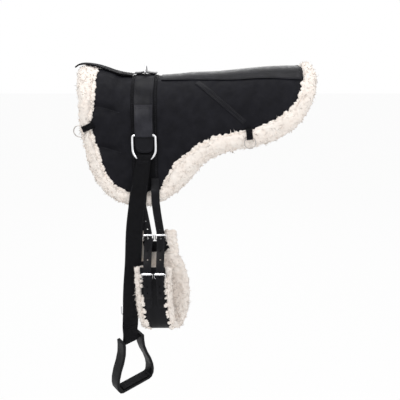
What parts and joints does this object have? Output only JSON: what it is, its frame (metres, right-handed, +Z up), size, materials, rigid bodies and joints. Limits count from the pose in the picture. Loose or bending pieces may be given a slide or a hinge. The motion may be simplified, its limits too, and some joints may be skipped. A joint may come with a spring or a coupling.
{
  "type": "bareback pad",
  "caption": "Bareback riding pad: fleece-lined arched pad with surcingle, rings, billets, looped fleece girth and a stirrup on a webbing strap on each side.",
  "frame": {"origin": "underside of the pad on the horse's spine, just behind the surcingle's middle", "axes": "+X from the withers to the rear, +Y to the far side, +Z up; the girth is buckled on the near side, -Y"},
  "size_m": [0.6407, 0.4058, 0.9639],
  "materials": {
    "far_brace_leather": "smooth black leather with a fine grain and a soft shine",
    "far_d_ring_chrome": "bright plated steel",
    "far_front_billet_leather": "smooth black leather with a fine grain and a soft shine",
    "far_front_ring_chrome": "bright plated steel",
    "far_front_tab_webbing": "flat woven black webbing",
    "far_rear_billet_leather": "smooth black leather with a fine grain and a soft shine",
    "far_rear_ring_chrome": "bright plated steel",
    "far_rear_tab_webbing": "flat woven black webbing",
    "far_ring_chape_leather": "smooth black leather with a fine grain and a soft shine",
    "far_stirrup_plastic": "moulded black plastic, lightly textured",
    "far_stirrup_strap_webbing": "flat woven black webbing",
    "far_strap_buckle_chrome": "bright plated steel",
    "far_tread_pad_rubber": "ribbed black rubber",
    "fleece_lining_fleece": "dense cream sheepskin pile",
    "fleece_roll_fleece": "dense cream sheepskin pile",
    "foam_core_foam": "plain padding foam",
    "girth_band_leather": "smooth black leather with a fine grain and a soft shine",
    "girth_fleece_fleece": "dense cream sheepskin pile",
    "lower_front_buckle_chrome": "bright plated steel",
    "lower_front_chape_leather": "smooth black leather with a fine grain and a soft shine",
    "lower_front_roller_chrome": "bright plated steel",
    "lower_front_tongue_chrome": "bright plated steel",
    "lower_rear_buckle_chrome": "bright plated steel",
    "lower_rear_chape_leather": "smooth black leather with a fine grain and a soft shine",
    "lower_rear_roller_chrome": "bright plated steel",
    "lower_rear_tongue_chrome": "bright plated steel",
    "near_brace_leather": "smooth black leather with a fine grain and a soft shine",
    "near_d_ring_chrome": "bright plated steel",
    "near_front_billet_leather": "smooth black leather with a fine grain and a soft shine",
    "near_front_ring_chrome": "bright plated steel",
    "near_front_tab_webbing": "flat woven black webbing",
    "near_rear_billet_leather": "smooth black leather with a fine grain and a soft shine",
    "near_rear_ring_chrome": "bright plated steel",
    "near_rear_tab_webbing": "flat woven black webbing",
    "near_ring_chape_leather": "smooth black leather with a fine grain and a soft shine",
    "near_stirrup_plastic": "moulded black plastic, lightly textured",
    "near_stirrup_strap_webbing": "flat woven black webbing",
    "near_strap_buckle_chrome": "bright plated steel",
    "near_tread_pad_rubber": "ribbed black rubber",
    "pad_cover_leather": "smooth black leather with a fine grain and a soft shine",
    "spine_panel_leather": "smooth black leather with a fine grain and a soft shine",
    "surcingle_base_webbing": "flat woven black webbing",
    "surcingle_strap_leather": "smooth black leather with a fine grain and a soft shine",
    "top_keeper_leather": "smooth black leather with a fine grain and a soft shine",
    "top_ring_chrome": "bright plated steel",
    "upper_front_buckle_chrome": "bright plated steel",
    "upper_front_chape_leather": "smooth black leather with a fine grain and a soft shine",
    "upper_front_roller_chrome": "bright plated steel",
    "upper_front_tongue_chrome": "bright plated steel",
    "upper_rear_buckle_chrome": "bright plated steel",
    "upper_rear_chape_leather": "smooth black leather with a fine grain and a soft shine",
    "upper_rear_roller_chrome": "bright plated steel",
    "upper_rear_tongue_chrome": "bright plated steel",
    "wither_strap_leather": "smooth black leather with a fine grain and a soft shine"
  },
  "bodies": {
    "pad": {"far_brace": "far_brace_leather", "far_front_billet": "far_front_billet_leather", "far_front_tab": "far_front_tab_webbing", "far_rear_billet": "far_rear_billet_leather", "far_rear_tab": "far_rear_tab_webbing", "far_ring_chape": "far_ring_chape_leather", "fleece_lining": "fleece_lining_fleece", "fleece_roll": "fleece_roll_fleece", "foam_core": "foam_core_foam", "girth_band": "girth_band_leather", "girth_fleece": "girth_fleece_fleece", "lower_front_buckle": "lower_front_buckle_chrome", "lower_front_chape": "lower_front_chape_leather", "lower_front_tongue": "lower_front_tongue_chrome", "lower_rear_buckle": "lower_rear_buckle_chrome", "lower_rear_chape": "lower_rear_chape_leather", "lower_rear_tongue": "lower_rear_tongue_chrome", "near_brace": "near_brace_leather", "near_front_billet": "near_front_billet_leather", "near_front_tab": "near_front_tab_webbing", "near_rear_billet": "near_rear_billet_leather", "near_rear_tab": "near_rear_tab_webbing", "near_ring_chape": "near_ring_chape_leather", "pad_cover": "pad_cover_leather", "spine_panel": "spine_panel_leather", "surcingle_base": "surcingle_base_webbing", "surcingle_strap": "surcingle_strap_leather", "top_keeper": "top_keeper_leather", "upper_front_buckle": "upper_front_buckle_chrome", "upper_front_chape": "upper_front_chape_leather", "upper_front_tongue": "upper_front_tongue_chrome", "upper_rear_buckle": "upper_rear_buckle_chrome", "upper_rear_chape": "upper_rear_chape_leather", "upper_rear_tongue": "upper_rear_tongue_chrome", "wither_strap": "wither_strap_leather"},
    "near_ring": {"near_d_ring": "near_d_ring_chrome"},
    "near_strap": {"near_stirrup_strap": "near_stirrup_strap_webbing", "near_strap_buckle": "near_strap_buckle_chrome"},
    "near_stirrup_body": {"near_stirrup": "near_stirrup_plastic", "near_tread_pad": "near_tread_pad_rubber"},
    "near_front_small_ring": {"near_front_ring": "near_front_ring_chrome"},
    "near_rear_small_ring": {"near_rear_ring": "near_rear_ring_chrome"},
    "far_ring": {"far_d_ring": "far_d_ring_chrome"},
    "far_strap": {"far_stirrup_strap": "far_stirrup_strap_webbing", "far_strap_buckle": "far_strap_buckle_chrome"},
    "far_stirrup_body": {"far_stirrup": "far_stirrup_plastic", "far_tread_pad": "far_tread_pad_rubber"},
    "far_front_small_ring": {"far_front_ring": "far_front_ring_chrome"},
    "far_rear_small_ring": {"far_rear_ring": "far_rear_ring_chrome"},
    "handle_ring": {"top_ring": "top_ring_chrome"},
    "upper_front_roller_body": {"upper_front_roller": "upper_front_roller_chrome"},
    "upper_rear_roller_body": {"upper_rear_roller": "upper_rear_roller_chrome"},
    "lower_front_roller_body": {"lower_front_roller": "lower_front_roller_chrome"},
    "lower_rear_roller_body": {"lower_rear_roller": "lower_rear_roller_chrome"}
  },
  "joints": [
    {"name": "near_ring_lift", "type": "hinge", "parent": "pad", "child": "near_ring", "pos_m": [-0.002, -0.11393, -0.10598], "axis": [-1, 0, 0], "range_deg": [0, 90]},
    {"name": "near_strap_swing", "type": "hinge", "parent": "near_ring", "child": "near_strap", "pos_m": [-0.002, -0.11818, -0.14223], "axis": [0, 0.9932, -0.1167], "range_deg": [0, 30]},
    {"name": "near_stirrup_swing", "type": "hinge", "parent": "near_strap", "child": "near_stirrup_body", "pos_m": [-0.065, -0.14655, -0.728], "axis": [0.766, 0.6428, 0], "range_deg": [-40, 40]},
    {"name": "near_front_ring_lift", "type": "hinge", "parent": "pad", "child": "near_front_small_ring", "pos_m": [-0.15592, -0.11798, -0.08942], "axis": [-0.3952, 0.1279, 0.9097], "range_deg": [0, 120]},
    {"name": "near_rear_ring_lift", "type": "hinge", "parent": "pad", "child": "near_rear_small_ring", "pos_m": [0.27301, -0.12142, -0.11266], "axis": [-0.9944, -0.0147, -0.1046], "range_deg": [0, 120]},
    {"name": "far_ring_lift", "type": "hinge", "parent": "pad", "child": "far_ring", "pos_m": [-0.002, 0.11393, -0.10598], "axis": [1, 0, 0], "range_deg": [0, 90]},
    {"name": "far_strap_swing", "type": "hinge", "parent": "far_ring", "child": "far_strap", "pos_m": [-0.002, 0.11818, -0.14223], "axis": [0, 0.9932, 0.1167], "range_deg": [0, 30]},
    {"name": "far_stirrup_swing", "type": "hinge", "parent": "far_strap", "child": "far_stirrup_body", "pos_m": [-0.075, 0.14655, -0.668], "axis": [0.766, -0.6428, 0], "range_deg": [-40, 40]},
    {"name": "far_front_ring_lift", "type": "hinge", "parent": "pad", "child": "far_front_small_ring", "pos_m": [-0.15592, 0.11798, -0.08942], "axis": [0.3952, 0.1279, -0.9097], "range_deg": [0, 120]},
    {"name": "far_rear_ring_lift", "type": "hinge", "parent": "pad", "child": "far_rear_small_ring", "pos_m": [0.27301, 0.12142, -0.11266], "axis": [0.9944, -0.0147, 0.1046], "range_deg": [0, 120]},
    {"name": "handle_ring_tip", "type": "hinge", "parent": "pad", "child": "handle_ring", "pos_m": [-0.002, 0, 0.0383], "axis": [0, 1, 0], "range_deg": [-70, 70]},
    {"name": "upper_front_roller_spin", "type": "hinge", "parent": "pad", "child": "upper_front_roller_body", "pos_m": [-0.00001, -0.14, -0.38103], "axis": [1, 0, 0], "continuous": true},
    {"name": "upper_rear_roller_spin", "type": "hinge", "parent": "pad", "child": "upper_rear_roller_body", "pos_m": [0.03498, -0.14, -0.38103], "axis": [1, 0, 0], "continuous": true},
    {"name": "lower_front_roller_spin", "type": "hinge", "parent": "pad", "child": "lower_front_roller_body", "pos_m": [-0.00196, -0.1878, -0.47703], "axis": [1, 0, 0], "continuous": true},
    {"name": "lower_rear_roller_spin", "type": "hinge", "parent": "pad", "child": "lower_rear_roller_body", "pos_m": [0.03304, -0.1878, -0.47703], "axis": [1, 0, 0], "continuous": true}
  ]
}
